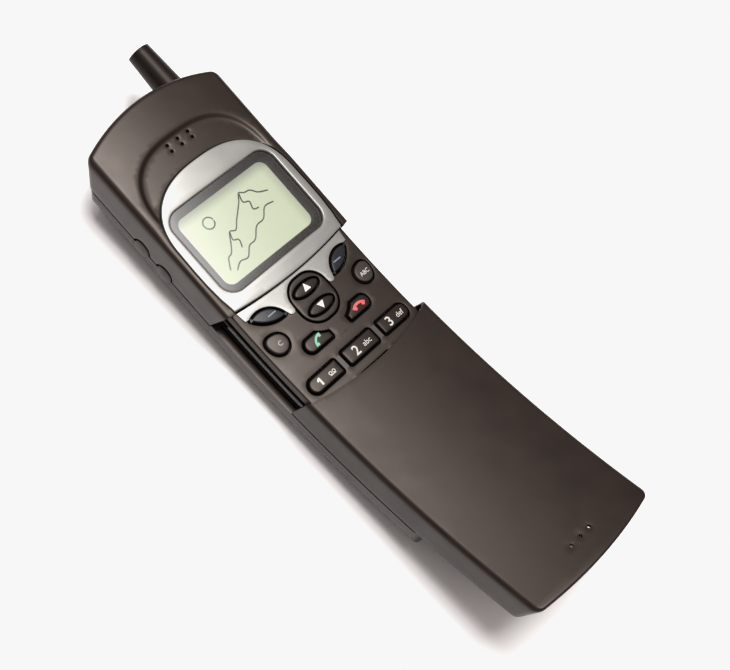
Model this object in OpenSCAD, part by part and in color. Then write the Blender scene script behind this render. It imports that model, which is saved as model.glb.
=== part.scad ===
// Curved slide-cover pocket telephone from the middle of the 1990s, lying on its battery.
// Millimetres. +X is the telephone's right seen from the front, +Y points to the antenna, +Z up.
// The origin is the centre of the flat resting face of the battery.
// The front of the lower body is an arc about an axis along X high above the telephone.
// "s" is the distance along that arc from the lower line of the display housing, positive
// towards the microphone end. "d" is the height above the front reference surface,
// negative into the body. The display housing is straight and continues the arc's tangent.

/* [Body] */

// Overall width of the telephone
body_w = 48; // [47.6:0.1:48.4]
// Radius of the front reference arc
face_r = 255.4; // [250:1:262]
// Rise of the crowned front at its centre line
crown_rise = 1.53; // [1.2:0.05:1.7]
// Distance from the front reference surface to the back
back_depth = 19.5; // [19.4:0.1:20.2]
// Depth of the seam between display housing and rear shell
seam_up = 10.6; // [10.4:0.1:10.8]
// Depth of the lower edge of the slide cover
seam_low = 9.6; // [9.4:0.1:9.7]
// Length of the straight display housing
housing_len = 60.9; // [60:0.1:62]
// Arc length of the rear shell below the display housing
shell_len = 76.6; // [76:0.1:77]

/* [Slide cover] */

// Arc position of the cover's upper corners in the stored pose
cover_top = 30.8; // [30.7:0.05:31]
// Arc position of the cover's lower corners in the stored pose
cover_end = 110.7; // [110.6:0.1:111.2]
// Height of the cover's outer surface above the reference surface
cover_rise = 0.71; // [0.6:0.01:0.8]
// Thickness of the cover's front wall
cover_wall = 1.3; // [1.1:0.1:1.3]

/* [Keys] */

// Depth of the keypad deck below the reference surface
deck_depth = 2.13; // [2.1:0.01:2.2]
// Height of the key tops above the deck
key_rise = 0.65; // [0.4:0.05:0.7]
// Clearance between a key and its hole
key_gap = 0.3; // [0.25:0.05:0.35]
// Pitch of the key rows along the arc
row_pitch = 8.3; // [8:0.1:8.4]

/* [Part] */

// Sub-part to draw

/* [Hidden] */
$fn = 48;

// arc position that rests on the table and the sliver taken off for the flat resting face
rest_s = 22;
rest_cut = 0.4;
axis_z = face_r + back_depth - rest_cut;
half_w = body_w / 2;
wall = 1.5;
slab = 90;

// rounded long edges: display housing, cover, back
edge_r = 1.8;
back_r = 7;

// deck and slide: half widths of the deck, groove bottom, rail and cover wall
deck_half = 21.7;
groove_half = 20.3;
rail_half = 22.2;
cover_in = 22.75;
deck_end = 71;
deck_wall = 1.1;
deck_floor = 10.0;
ledge = seam_low + 0.35;
groove_top = 4.4;
lip_top = 4.9;
lip_low = 5.7;
rail_top = 6.2;
rail_low = 7.0;
groove_low = 9.0;

// key heights
key_top = -deck_depth + key_rise;
key_base = -3.8;
mat_top = -4.4;
mat_low = -5.2;
dome_top = -5.35;
dome_low = -5.6;
board_top = -5.75;
board_low = -6.55;

// battery bay in the back of the rear shell
bay_half = 19.5;
bay_from = 2;
bay_to = 66;
bay_roof = 12.9;
bay_skin = 11.7;

// display stack, centred win_y above the lower line of the housing
win_y = 17.35;
win_w = 38.4;
win_h = 27.3;
lcd_w = 33;
lcd_h = 22.5;

// speaker and antenna
ear_y = 45.1;
ant_x = 12.4;
ant_d = -6.5;
ant_len = 15.2;

// case screws of the antenna end and the middle of the volume rocker
screw_x = 18.6;
screw_y = 42;
rocker_y = 25.5;

body_col = [0.27, 0.24, 0.22];
dark_col = [0.12, 0.11, 0.11];
silver_col = [0.72, 0.71, 0.69];
metal_col = [0.75, 0.75, 0.76];
brass_col = [0.78, 0.62, 0.3];
board_col = [0.1, 0.3, 0.18];

// ---- frames ----

function deg_at(s) = (s - rest_s) / face_r * 180 / PI;

// local frame on the reference arc: +Y towards the antenna, +Z out of the front
module on_arc(s) {
  translate([0, 0, axis_z]) rotate([-deg_at(s), 0, 0]) translate([0, 0, -face_r]) children();
}

// section drawn in (x, d), swept along the arc from s = a to s = b
module arc_piece(a, b) {
  translate([0, 0, axis_z]) rotate([90, 0, 90]) rotate([0, 0, -90 - deg_at(b)])
    rotate_extrude(angle = deg_at(b) - deg_at(a), $fn = 240)
      translate([face_r, 0]) rotate(90) children();
}

// section drawn in (x, d), swept straight along local Y from a to b
module flat_piece(a, b) {
  translate([0, b, 0]) rotate([90, 0, 0]) linear_extrude(b - a) children();
}

// plan outline in local (x, y), standing between heights lo and hi
module plan(lo, hi) {
  translate([0, 0, lo]) linear_extrude(hi - lo) children();
}

// ---- sections ----

function crown(x) = crown_rise * (1 - x * x / 576);

function crown_line(a, b, h, n = 10) = [for (i = [0:n]) let (x = a + (b - a) * i / n) [x, h + crown(x)]];

function round_line(cx, cy, r, a, b, n = 5) =
  [for (i = [0:n]) [cx + r * cos(a + (b - a) * i / n), cy + r * sin(a + (b - a) * i / n)]];

// crowned top at height h with rounded edges, down to depth low
function crown_section(w, h, r, low) = concat(
  [[-w, low]],
  round_line(r - w, h + crown(w - r) - r, r, 180, 92),
  crown_line(r - w, w - r, h),
  round_line(w - r, h + crown(w - r) - r, r, 88, 0),
  [[w, low]]);

// flat-bottomed section with large rounded back corners, up to depth top
function back_section(w, top, low, r) = concat(
  [[w, top]],
  round_line(w - r, r - low, r, 0, -90, 7),
  round_line(r - w, r - low, r, -90, -180, 7),
  [[-w, top]]);

// layer that follows the crown between heights lo and hi
function crown_layer(w, lo, hi) = concat(crown_line(-w, w, hi), crown_line(w, -w, lo));

// rounded rectangle with separate corner radii left and right
function rounded(w, h, rl, rr) = concat(
  round_line(w / 2 - rr, h / 2 - rr, rr, 90, 0),
  round_line(w / 2 - rr, rr - h / 2, rr, 0, -90),
  round_line(rl - w / 2, rl - h / 2, rl, -90, -180),
  round_line(rl - w / 2, h / 2 - rl, rl, 180, 90));

function oval(a, b, n = 40) = [for (i = [0:n - 1]) [a * cos(i * 360 / n), b * sin(i * 360 / n)]];

// end of a body with half width w: arched edge of radius arch with its top at y = 0, corner radius rc
function end_outline(w, arch, rc, len) = let (
  yc = sqrt(pow(arch - rc, 2) - pow(w - rc, 2)) - arch,
  ac = atan2(yc + arch, w - rc))
  concat([[w, -len]],
    round_line(w - rc, yc, rc, 0, ac),
    round_line(0, -arch, arch, ac, 180 - ac, 12),
    round_line(rc - w, yc, rc, 180 - ac, 180),
    [[-w, -len]]);

// ---- shared cuts ----

// everything inside the telephone's antenna end, set back by in
module top_limit(in) {
  translate([0, housing_len - in, 0]) rotate([-22, 0, 0])
    plan(-slab, slab) polygon(end_outline(half_w - in, 62.9, 3, slab));
}

// everything on the antenna side of the housing's bowed, undercut lower line, set back by in
module low_limit(in) {
  rotate([12.5, 0, 0]) plan(-slab, slab) translate([0, 149.4 + in]) circle(r = 151, $fn = 240);
}

// side outline of the antenna end: the back rounds up to the end face
module back_limit(in) {
  rotate([90, 0, 90]) translate([0, 0, -half_w])
    linear_extrude(body_w) polygon(concat([[-4, 6], [-4, in - back_depth]],
      round_line(housing_len - 13.3, 9 - back_depth, 9 - in, -90, 0, 8),
      [[housing_len + 6, -4], [housing_len + 6, 6]]));
}

// everything inside the microphone end of the cover, set back by in
module cover_end_limit(in) {
  on_arc(cover_end + 1.2 - in) rotate([26, 0, 0]) plan(-slab / 2, slab / 2)
    rotate(180) polygon(end_outline(half_w - in, 173, 2.6, slab));
}

// ---- key outlines, local (x, y) about the key centre, grown by g ----

row_s = [for (i = [0:3]) 28.1 + row_pitch * i];
col_x = 13.75;
nav_s = 9.8;

module middle_outline(g) {
  polygon(rounded(11.6 + 2 * g, 4.8 + 2 * g, 0.8 + g, 0.8 + g));
}

module side_outline(g) {
  polygon(rounded(10.9 + 2 * g, 4.5 + 2 * g, 2.1 + g, 0.6 + g));
}

module oval_outline(g) {
  polygon(oval(4.5 + g, 1.75 + g));
}

// leaf: two arcs that meet in points, the fuller side towards the display
module leaf_outline(g) {
  rotate(-26.8) intersection() {
    translate([0, -3.95]) circle(r = 6.45 + g);
    translate([0, 7.9]) circle(r = 9.4 + g);
    square([11.4 + g, 12], center = true);
  }
}

// round key drawn out towards the outer upper corner
module shield_outline(g) {
  polygon([for (a = [0:9:351]) (2.95 + g + 0.75 * pow(max(0, cos(a - 135)), 5)) * [cos(a), sin(a)]]);
}

// call key: round outer end, square inner end under the arc of the navigation island
module call_outline(g) {
  difference() {
    polygon(rounded(8.8 + 2 * g, 4.2 + 2 * g, 2 + g, 0.4 + g));
    translate([7.95, 9.0]) circle(r = 9.8 - g);
  }
}

// key standing through the deck at arc position s and across position x: child 0 is the
// key's outline, child 1 that of the flange that keeps it under the deck
module key_solid(x, s) {
  key_layer(x, s, key_top) children(0);
  key_layer(x, s, key_base + 0.45) children(1);
}

module key_layer(x, s, top) {
  intersection() {
    on_arc(s) translate([x, 0, 0]) plan(-6, 2) children();
    arc_piece(s - 8, s + 8) polygon(crown_layer(half_w, key_base, top));
  }
}

module deck_hole(x, s) {
  on_arc(s) translate([x, 0, 0]) plan(-6, 2) children();
}

module number_key(row, col) {
  color(body_col) key_solid(col * col_x, row_s[row]) {
    number_outline(col, 0);
    number_outline(col, 0.6);
  }
}

module number_outline(col, g) {
  if (col == 0)
    middle_outline(g);
  else if (col < 0)
    side_outline(g);
  else
    mirror([1, 0]) side_outline(g);
}

// ---- fixed body ----

module front_housing() {
  color(body_col) on_upper() {
    housing_skin();
    // screw bosses of the antenna end
    for (x = [-screw_x, screw_x])
      translate([x, screw_y, 0]) difference() {
        plan(-8, -0.7) circle(r = 2.3);
        plan(-9, -4) circle(r = 1.06);
      }
  }
}

module housing_skin() {
  difference() {
    intersection() {
      flat_piece(-4, housing_len + 6) polygon(crown_section(half_w, 0, edge_r, -seam_up));
      top_limit(0);
      low_limit(0);
    }
    intersection() {
      flat_piece(-6, housing_len) polygon(crown_section(half_w - wall, -1.6, 0.8, -seam_up - 1));
      top_limit(wall);
    }
    // shallow bay for the silver bezel and the opening of the display
    intersection() {
      plan(-1, 3) bezel_outline(0.05);
      flat_piece(-4, housing_len) polygon(crown_layer(half_w, -0.75, 3));
    }
    translate([0, win_y, -4]) plan(0, 8) polygon(rounded(win_w + 0.2, win_h + 0.2, 4.6, 4.6));
    // arched recess round the earpiece
    intersection() {
      plan(-1, 3) earpiece_outline();
      flat_piece(-4, housing_len) polygon(crown_layer(half_w, -0.6, 3));
    }
    for (x = [-3.78, 0, 3.78], y = [44.15, 46.1])
      translate([x, y, -3]) cylinder(r = 0.55, h = 6);
    // cut-outs of the volume rocker, the antenna and the power key
    rocker_hole();
    translate([ant_x, 44, ant_d]) rotate([-90, 0, 0]) cylinder(r = 4.35, h = 24);
    translate([-9, 52, -6.5]) rotate([-90, 0, 0]) linear_extrude(12) polygon(rounded(8.6, 3.6, 1.7, 1.7));
  }
}

module on_upper() {
  on_arc(0) children();
}

// bezel plan: arched top, sides that bulge slightly, open at the housing's lower line
module bezel_outline(g) {
  polygon(concat(
    [[21.1 + g, -4], [21.15 + g, 0], [21.8 + g, 5], [22.15 + g, 10], [22.2 + g, 15], [22.1 + g, 20]],
    [for (a = [4:8:176]) [(22.1 + g) * pow(abs(cos(a)), 0.8) * sign(cos(a)), 20 + (19 + g) * pow(sin(a), 0.78)]],
    [[-22.1 - g, 20], [-22.2 - g, 15], [-22.15 - g, 10], [-21.8 - g, 5], [-21.15 - g, 0], [-21.1 - g, -4]]));
}

module earpiece_outline() {
  polygon(concat([[20.9, 22]],
    [for (a = [3:6:177]) [20.9 * pow(abs(cos(a)), 0.72) * sign(cos(a)), 30 + 18.6 * pow(sin(a), 0.8)]],
    [[-20.9, 22]]));
}

module display_bezel() {
  color(silver_col) on_upper() difference() {
    intersection() {
      plan(-2, 3) bezel_outline(-0.1);
      flat_piece(-4, housing_len) polygon(crown_layer(half_w, -0.7, 0));
      low_limit(0.05);
    }
    translate([0, win_y, -4]) plan(0, 8) polygon(rounded(win_w, win_h, 4.5, 4.5));
  }
}

module display_frame() {
  color(dark_col) on_upper() translate([0, win_y, 0]) difference() {
    intersection() {
      plan(-1.3, 3) polygon(rounded(win_w - 0.1, win_h - 0.1, 4.45, 4.45));
      flat_piece(-slab / 2, slab / 2) polygon(crown_layer(half_w, -6, -0.9));
    }
    for (i = [0:3])
      plan(-1.4 + 0.3 * i, 3)
        polygon(rounded(lcd_w + 1.1 * i, lcd_h + i, 2.6 + 0.4 * i, 2.6 + 0.4 * i));
  }
}

module display_window() {
  color([0.85, 0.9, 0.88, 0.3]) on_upper() translate([0, win_y, 0]) intersection() {
    plan(-2, 3) polygon(rounded(win_w - 0.1, win_h - 0.1, 4.45, 4.45));
    flat_piece(-slab / 2, slab / 2) polygon(crown_layer(half_w, -0.8, -0.1));
  }
}

module lcd_glass() {
  color([0.8, 0.88, 0.76]) on_upper() translate([0, win_y, 0])
    plan(-2.4, -1.4) square([lcd_w + 2.6, lcd_h + 2], center = true);
}

module light_guide() {
  color([0.92, 0.95, 0.9]) on_upper() translate([0, win_y, 0])
    plan(-3.7, -2.5) square([lcd_w + 2.4, lcd_h + 1.8], center = true);
}

module lcd_tray() {
  color(metal_col) on_upper() translate([0, win_y, 0]) difference() {
    plan(-4.3, -1.5) square([lcd_w + 4, lcd_h + 3.4], center = true);
    plan(-3.8, -1.1) square([lcd_w + 2.8, lcd_h + 2.2], center = true);
  }
}

module ear_speaker() {
  color(metal_col) on_upper() translate([0, ear_y, 0]) difference() {
    plan(-5.4, -2.3) circle(r = 6);
    plan(-2.6, -2) circle(r = 4.4);
  }
}

module ear_gasket() {
  color(dark_col) on_upper() translate([0, ear_y, 0]) difference() {
    plan(-2.2, -0.5) circle(r = 6.2);
    plan(-3, 0) circle(r = 5);
    flat_piece(-slab / 2, slab / 2) polygon(crown_layer(half_w, -1.7, 3));
  }
}

module rear_shell() {
  color(body_col) difference() {
    shell_body();
    screw_spots() screw_bore();
  }
}

// shell without its screw holes: outer skin, antenna-end cavity, board channel, battery bay
module shell_body() {
  on_upper() for (x = [-screw_x, screw_x])
    translate([x, screw_y, -back_depth + 1]) cylinder(r = 2.8, h = back_depth - 10.4);
  difference() {
    union() {
      intersection() {
        arc_piece(0, shell_len + 3) polygon(back_section(half_w, -ledge, back_depth, back_r));
        on_arc(shell_len) rotate([8, 0, 0]) plan(-slab / 2, slab / 2)
          rotate(180) polygon(end_outline(half_w, 220, 3, slab));
      }
      on_upper() intersection() {
        flat_piece(0, housing_len + 6) polygon(back_section(half_w, -ledge, back_depth, back_r));
        top_limit(0);
        back_limit(0);
      }
    }
    // the display housing's seam lies a little lower than the deck's
    on_upper() intersection() {
      low_limit(-0.3);
      plan(-seam_up - 0.25, slab) square([slab, 2 * slab], center = true);
    }
    on_upper() intersection() {
      flat_piece(-4, housing_len) polygon(back_section(half_w - wall, 4, back_depth - wall, back_r - wall));
      top_limit(wall);
      back_limit(wall);
      plan(-slab, slab) translate([-half_w, 11]) square([body_w, slab]);
    }
    arc_piece(-6, deck_end + 0.6) square_section(deck_half + 0.3, -bay_skin, 5);
    arc_piece(bay_from, bay_to) square_section(bay_half, -slab / 3, -bay_roof);
    translate([0, 0, -9.9]) cube([80, 200, 20], center = true);
    latch_bay();
    end_openings();
    on_upper() rocker_hole();
    // pocket under the card holder
    on_upper() plan(-11.7, -9) translate([-13.3, 5.2]) square([26.6, 16]);
  }
}

module square_section(w, low, top) {
  translate([-w, low]) square([2 * w, top - low]);
}

module key_deck() {
  // screw bosses of the microphone end
  color(body_col) for (x = [-12, 12])
    on_arc(68.6) translate([x, 0, 0]) difference() {
      plan(-10.5, -1.5) circle(r = 2.2);
      plan(-11, -5) circle(r = 1.06);
    }
  color(body_col) difference() {
    arc_piece(-1.2, deck_end) difference() {
      polygon(crown_section(deck_half, -deck_depth, 0.6, -deck_floor));
      for (m = [-1, 1], g = [[groove_top, rail_top - 0.05], [rail_low + 0.05, groove_low]])
        translate([m * (groove_half + 5), -(g[0] + g[1]) / 2]) square([10, g[1] - g[0]], center = true);
      polygon(concat(crown_line(-20.4, 20.4, -deck_depth - deck_wall), [[20.4, -groove_top + 0.3],
        [19.2, -groove_top + 0.3], [19.2, -slab], [-19.2, -slab], [-19.2, -groove_top + 0.3],
        [-20.4, -groove_top + 0.3]]));
      for (m = [-1, 1])
        translate([m * (deck_half + 0.5), -(rail_top + rail_low) / 2])
          square([2.8, rail_low - rail_top + 0.1], center = true);
    }
    for (r = [0:3], c = [-1:1])
      deck_hole(c * col_x, row_s[r]) number_outline(c, key_gap);
    for (m = [0, 1])
      mirror([m, 0, 0]) {
        deck_hole(-14.05, 6.3) leaf_outline(key_gap);
        deck_hole(-16.85, 13.4) shield_outline(key_gap);
        deck_hole(-7.95, 19.3) call_outline(key_gap);
      }
    for (s = [6.7, 12.9])
      deck_hole(0, s) oval_outline(key_gap);
  }
}

module slide_rails() {
  color(dark_col) arc_piece(1, deck_end) for (m = [-1, 1])
    translate([m * (rail_half - 0.7), -(rail_top + rail_low) / 2])
      square([1.4, rail_low - rail_top], center = true);
}

module softkey_trim() {
  color(silver_col) intersection() {
    arc_piece(0.2, 12) polygon(crown_layer(half_w, -deck_depth + 0.02, -deck_depth + 0.4));
    on_arc(nav_s) plan(-6, 2) difference() {
      polygon([[-20.2, 9.5], [20.2, 9.5], [19.7, 6.5], [6, -0.5], [-6, -0.5], [-19.7, 6.5]]);
      for (m = [0, 1])
        mirror([m, 0]) translate([-14.05, nav_s - 6.3]) leaf_outline(0.5);
      island_outline(0.4);
    }
  }
}

module island_outline(g) {
  polygon(rounded(12.6 + 2 * g, 14 + 2 * g, 5.4 + g, 5.4 + g));
}

module nav_island() {
  color(dark_col) intersection() {
    arc_piece(0.2, 20) polygon(crown_layer(half_w, -deck_depth + 0.02, -deck_depth + 0.35));
    on_arc(nav_s) plan(-6, 2) difference() {
      island_outline(0);
      for (y = [-3.1, 3.1])
        translate([0, y]) oval_outline(key_gap);
    }
  }
}

module keymat() {
  color([0.4, 0.4, 0.42]) difference() {
    arc_piece(3, 58) polygon(crown_layer(19, mat_low, mat_top));
    for (r = [0:2], c = [-1, 1])
      deck_hole(c * 6.9, row_s[r] + row_pitch / 2) circle(r = 0.9);
  }
}

module dome_sheet() {
  color([0.8, 0.8, 0.82]) arc_piece(3, 58) polygon(crown_layer(18.8, dome_low, dome_top));
}

module keypad_board() {
  color(board_col) arc_piece(2.5, 65.5) polygon(crown_layer(19, board_low, board_top));
}

module main_board() {
  color(board_col) on_upper() difference() {
    plan(-9.2, -8.2) polygon([[-20.6, 3], [21.8, 3], [21.8, 46], [17.6, 46], [17.6, 50], [7.6, 50],
      [7.6, 46], [-4, 46], [-4, 51], [-20.6, 51]]);
    for (x = [-screw_x, screw_x])
      translate([x, screw_y, -10]) cylinder(r = 1.2, h = 3);
  }
}

module rf_shield() {
  color(metal_col) on_upper() difference() {
    plan(-12.6, -9.35) translate([-16, 22]) square([32, 18]);
    plan(-12.2, -9) {
      translate([-15.6, 22.4]) square([15.3, 17.2]);
      translate([0.3, 22.4]) square([15.3, 17.2]);
    }
  }
}

module sim_holder() {
  color(dark_col) on_upper() difference() {
    plan(-11.4, -9.35) translate([-13, 5.5]) square([26, 15.4]);
    plan(-11, -9.9) translate([-12.6, 4]) square([25.2, 16]);
  }
}

module buzzer() {
  color(dark_col) on_upper() translate([-13, 47.2, 0]) difference() {
    plan(-7.9, -4.6) circle(r = 3.6);
    plan(-5.2, -4) circle(r = 0.8);
  }
}

module side_switches() {
  color(metal_col) on_upper() {
    for (y = [-4.5, 4.5])
      translate([-21.2, rocker_y + y - 1.8, -12.1]) cube([1.8, 3.6, 2.7]);
    translate([-10.8, 51.2, -8]) cube([3.6, 1.6, 2.9]);
  }
}

// ---- battery, latch, end connectors ----

module battery_solid(in) {
  intersection() {
    arc_piece(bay_from + 0.2 + in, bay_to - 0.2 - in)
      square_section(bay_half - 0.2 - in, in - back_depth, -bay_roof - 0.15 - in);
    translate([0, 0, 40 + in]) cube([80, 200, 80], center = true);
  }
}

module battery_case() {
  color(body_col) difference() {
    battery_solid(0);
    battery_solid(0.9);
    for (x = [-6, -2, 2, 6])
      on_arc(bay_from + 1.4) translate([x - 0.9, -0.8, -bay_roof - 2]) cube([1.8, 1.2, 3]);
  }
}

module battery_cells() {
  color([0.35, 0.45, 0.6]) for (s = [14, 34, 54])
    on_arc(s) translate([-17.6, -9.2, -17.9]) cube([35.2, 18.4, 3.4]);
}

module battery_contacts() {
  color(brass_col) on_arc(bay_from + 1.4) for (x = [-6, -2, 2, 6])
    translate([x - 0.6, -0.5, -bay_roof - 0.9]) cube([1.2, 0.6, 0.65]);
}

module latch_bay() {
  on_upper() translate([-6.4, -1.4, -back_depth - 1]) cube([12.8, 10.9, 3.9]);
}

module battery_latch() {
  color(dark_col) on_upper() difference() {
    translate([-6, -0.9, -back_depth + 0.4]) cube([12, 5.2, 2.2]);
    for (y = [0.4, 1.8, 3.2])
      translate([-4.5, y, -back_depth]) cube([9, 0.6, 0.9]);
  }
}

module latch_spring() {
  color(metal_col) on_upper() for (x = [-3, 3])
    translate([x, 4.45, -back_depth + 1.5]) rotate([-90, 0, 0]) difference() {
      cylinder(r = 0.8, h = 2.6);
      translate([0, 0, -1]) cylinder(r = 0.5, h = 5);
    }
}

module end_openings() {
  on_arc(shell_len) {
    translate([9, 5, -14.6]) rotate([90, 0, 0]) cylinder(r = 2.6, h = 10);
    translate([-8.2, -6, -16.1]) cube([11.6, 9, 3.2]);
  }
}

// the four case screws: two at the antenna end, two at the microphone end
module screw_spots() {
  for (x = [-screw_x, screw_x])
    on_upper() translate([x, screw_y, 0]) children();
  for (x = [-12, 12])
    on_arc(68.6) translate([x, 0, 0]) children();
}

module screw_bore() {
  translate([0, 0, -back_depth - 1]) cylinder(r = 2.0, h = 4);
  translate([0, 0, -back_depth]) cylinder(r = 1.1, h = 12);
}

module charge_jack() {
  color(metal_col) on_arc(shell_len) translate([9, 4.9, -14.6]) rotate([90, 0, 0]) difference() {
    cylinder(r = 2.5, h = 4.6);
    translate([0, 0, 0.8]) cylinder(r = 1.75, h = 5);
  }
}

module link_contacts() {
  color(brass_col) on_arc(shell_len) for (i = [0:4])
    translate([-7.2 + 2.1 * i, -0.4, -15.4]) cube([1.2, 3.2, 0.9]);
}

module case_screws() {
  color(metal_col) screw_spots() translate([0, 0, -back_depth + 1.4]) difference() {
    union() {
      cylinder(r = 1.8, h = 1.5);
      cylinder(r = 1.0, h = 12.6);
    }
    translate([0, 0, -1]) cylinder(r = 0.9, h = 1.6, $fn = 6);
  }
}

// ---- antenna and side keys ----

module antenna_stub() {
  color(dark_col) on_upper() translate([ant_x, 58.5, ant_d]) rotate([-90, 0, 0]) difference() {
    intersection() {
      cylinder(r1 = 4.2, r2 = 3.45, h = ant_len);
      translate([0, 0, ant_len - 12]) sphere(r = 12);
    }
    translate([0, 0, -1]) cylinder(r = 2.1, h = 5);
  }
}

module antenna_base() {
  color(brass_col) on_upper() translate([ant_x, 51, ant_d]) rotate([-90, 0, 0]) {
    cylinder(r = 3, h = 7.4);
    cylinder(r = 2, h = 11);
    for (z = [1:1.5:5.5])
      translate([0, 0, z]) cylinder(r = 3.3, h = 0.7);
  }
}

module power_key() {
  color(dark_col) on_upper() intersection() {
    translate([-9, 53.5, -6.5]) rotate([-90, 0, 0]) linear_extrude(9) polygon(rounded(8, 3, 1.4, 1.4));
    top_limit(-0.5);
  }
}

// side outline of the volume rocker in (y, d): two round ends joined by a bar, grown by g
module rocker_outline(g) {
  for (y = [-4.5, 4.5])
    translate([rocker_y + y, -10.9]) circle(r = 2.9 + g);
  translate([rocker_y - 4.5, -13.4 - g]) square([9, 5.4 + 2 * g]);
}

module rocker_hole() {
  translate([-half_w - 1, 0, 0]) rotate([90, 0, 90]) linear_extrude(3.4) rocker_outline(key_gap);
}

module volume_rocker() {
  color(body_col) on_upper() {
    translate([-half_w + 0.15, 0, 0]) rotate([90, 0, 90]) linear_extrude(2) rocker_outline(0);
    for (y = [-4.5, 4.5])
      translate([-half_w - 0.45, rocker_y + y, -10.9]) rotate([0, 90, 0]) cylinder(r1 = 1.9, r2 = 2.6, h = 0.7);
    // pivot barrel
    translate([-half_w + 2.15, rocker_y, -13.2]) cylinder(r = 0.7, h = 5);
  }
}

// ---- slide cover ----

module cover_top_cut() {
  on_arc(cover_top) rotate([12.5, 0, 0]) plan(-slab / 4, slab / 4) translate([0, 87.3]) circle(r = 90, $fn = 240);
}

module slide_cover() {
  color(body_col) difference() {
    intersection() {
      arc_piece(cover_top - 2, cover_end + 4) polygon(crown_section(half_w, cover_rise, edge_r, -seam_low));
      cover_end_limit(0);
    }
    intersection() {
      arc_piece(cover_top - 6, cover_end + 4)
        polygon(crown_section(cover_in, cover_rise - cover_wall, 0.8, -seam_low - 3));
      cover_end_limit(1.4);
    }
    cover_top_cut();
    for (x = [-3.8, 0, 3.8])
      on_arc(105) translate([x, 0, -2]) cylinder(r = 0.55, h = 6);
  }
}

module cover_liner() {
  color(dark_col) difference() {
    arc_piece(cover_top + 4, 103) difference() {
      polygon(crown_section(cover_in - 0.15, cover_rise - cover_wall - 0.15, 0.8, -lip_low));
      polygon(crown_section(cover_in - 0.35, cover_rise - cover_wall - 0.4, 0.5, -lip_top));
      square_section(groove_half + 0.4, -slab / 3, -lip_top + 1);
    }
    on_arc(105) plan(-3, 3) circle(r = 4);
  }
}

module mic_capsule() {
  color(metal_col) on_arc(105) difference() {
    plan(-2.6, -0.4) circle(r = 2.5);
    plan(-0.9, 0) circle(r = 1.2);
  }
}

module mic_strips() {
  color(brass_col) arc_piece(90, 102) for (m = [-1, 1])
    translate([m * 16, -0.9 + crown(16) - 0.35]) square([1.6, 0.15], center = true);
}

// ---- keys ----

module soft_key(m) {
  color(dark_col) mirror([m, 0, 0]) key_solid(-14.05, 6.3) {
    leaf_outline(0);
    leaf_outline(0.5);
  }
}

module soft_left() {
  soft_key(0);
}

module soft_right() {
  soft_key(1);
}

module nav_key(s) {
  color(dark_col) key_solid(0, s) {
    oval_outline(0);
    oval_outline(0.5);
  }
}

module nav_up() {
  nav_key(6.7);
}

module nav_down() {
  nav_key(12.9);
}

module round_key(m) {
  color(body_col) mirror([m, 0, 0]) key_solid(-16.85, 13.4) {
    shield_outline(0);
    shield_outline(0.4);
  }
}

module key_clear() {
  round_key(0);
}

module key_letters() {
  round_key(1);
}

module call_key(m) {
  color(body_col) mirror([m, 0, 0]) key_solid(-7.95, 19.3) {
    call_outline(0);
    call_outline(0.5);
  }
}

module key_send() {
  call_key(0);
}

module key_end() {
  call_key(1);
}

module key_1() {
  number_key(0, -1);
}

module key_2() {
  number_key(0, 0);
}

module key_3() {
  number_key(0, 1);
}

module key_4() {
  number_key(1, -1);
}

module key_5() {
  number_key(1, 0);
}

module key_6() {
  number_key(1, 1);
}

module key_7() {
  number_key(2, -1);
}

module key_8() {
  number_key(2, 0);
}

module key_9() {
  number_key(2, 1);
}

module key_star() {
  number_key(3, -1);
}

module key_0() {
  number_key(3, 0);
}

module key_hash() {
  number_key(3, 1);
}

// ---- selection ----

front_housing();
rear_shell();
key_deck();
slide_rails();
display_bezel();
display_frame();
display_window();
lcd_glass();
light_guide();
lcd_tray();
ear_speaker();
ear_gasket();
softkey_trim();
nav_island();
keymat();
dome_sheet();
keypad_board();
main_board();
rf_shield();
sim_holder();
buzzer();
side_switches();
battery_case();
battery_cells();
battery_contacts();
battery_latch();
latch_spring();
antenna_stub();
antenna_base();
power_key();
volume_rocker();
slide_cover();
cover_liner();
mic_capsule();
mic_strips();
charge_jack();
link_contacts();
case_screws();
soft_left();
soft_right();
nav_up();
nav_down();
key_clear();
key_letters();
key_send();
key_end();
key_1();
key_2();
key_3();
key_4();
key_5();
key_6();
key_7();
key_8();
key_9();
key_star();
key_0();
key_hash();
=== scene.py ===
"""Curved slide-cover pocket telephone: the looks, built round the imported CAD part.

Lengths below are millimetres. "s" runs along the arc of the front from the lower line of the display
housing towards the microphone end (negative along the straight housing), "d" is the height above the
front reference surface, and x goes to the telephone's right.
"""

import math

import bmesh
import bpy
from mathutils import Matrix, Vector
from mathutils.geometry import delaunay_2d_cdt


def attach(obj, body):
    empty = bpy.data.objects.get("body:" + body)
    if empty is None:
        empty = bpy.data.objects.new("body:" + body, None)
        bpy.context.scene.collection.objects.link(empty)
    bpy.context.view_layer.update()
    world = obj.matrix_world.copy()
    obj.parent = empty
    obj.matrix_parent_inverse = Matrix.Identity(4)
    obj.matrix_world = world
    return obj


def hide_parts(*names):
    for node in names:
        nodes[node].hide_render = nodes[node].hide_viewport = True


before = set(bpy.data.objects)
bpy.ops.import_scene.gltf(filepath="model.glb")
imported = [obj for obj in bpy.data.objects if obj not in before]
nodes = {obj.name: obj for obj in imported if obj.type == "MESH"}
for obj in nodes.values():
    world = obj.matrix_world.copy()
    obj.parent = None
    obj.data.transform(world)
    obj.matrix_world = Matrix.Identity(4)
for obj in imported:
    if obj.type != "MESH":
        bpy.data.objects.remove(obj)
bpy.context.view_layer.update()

# ---------------------------------------------------------------- sizes, as in the CAD part

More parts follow.
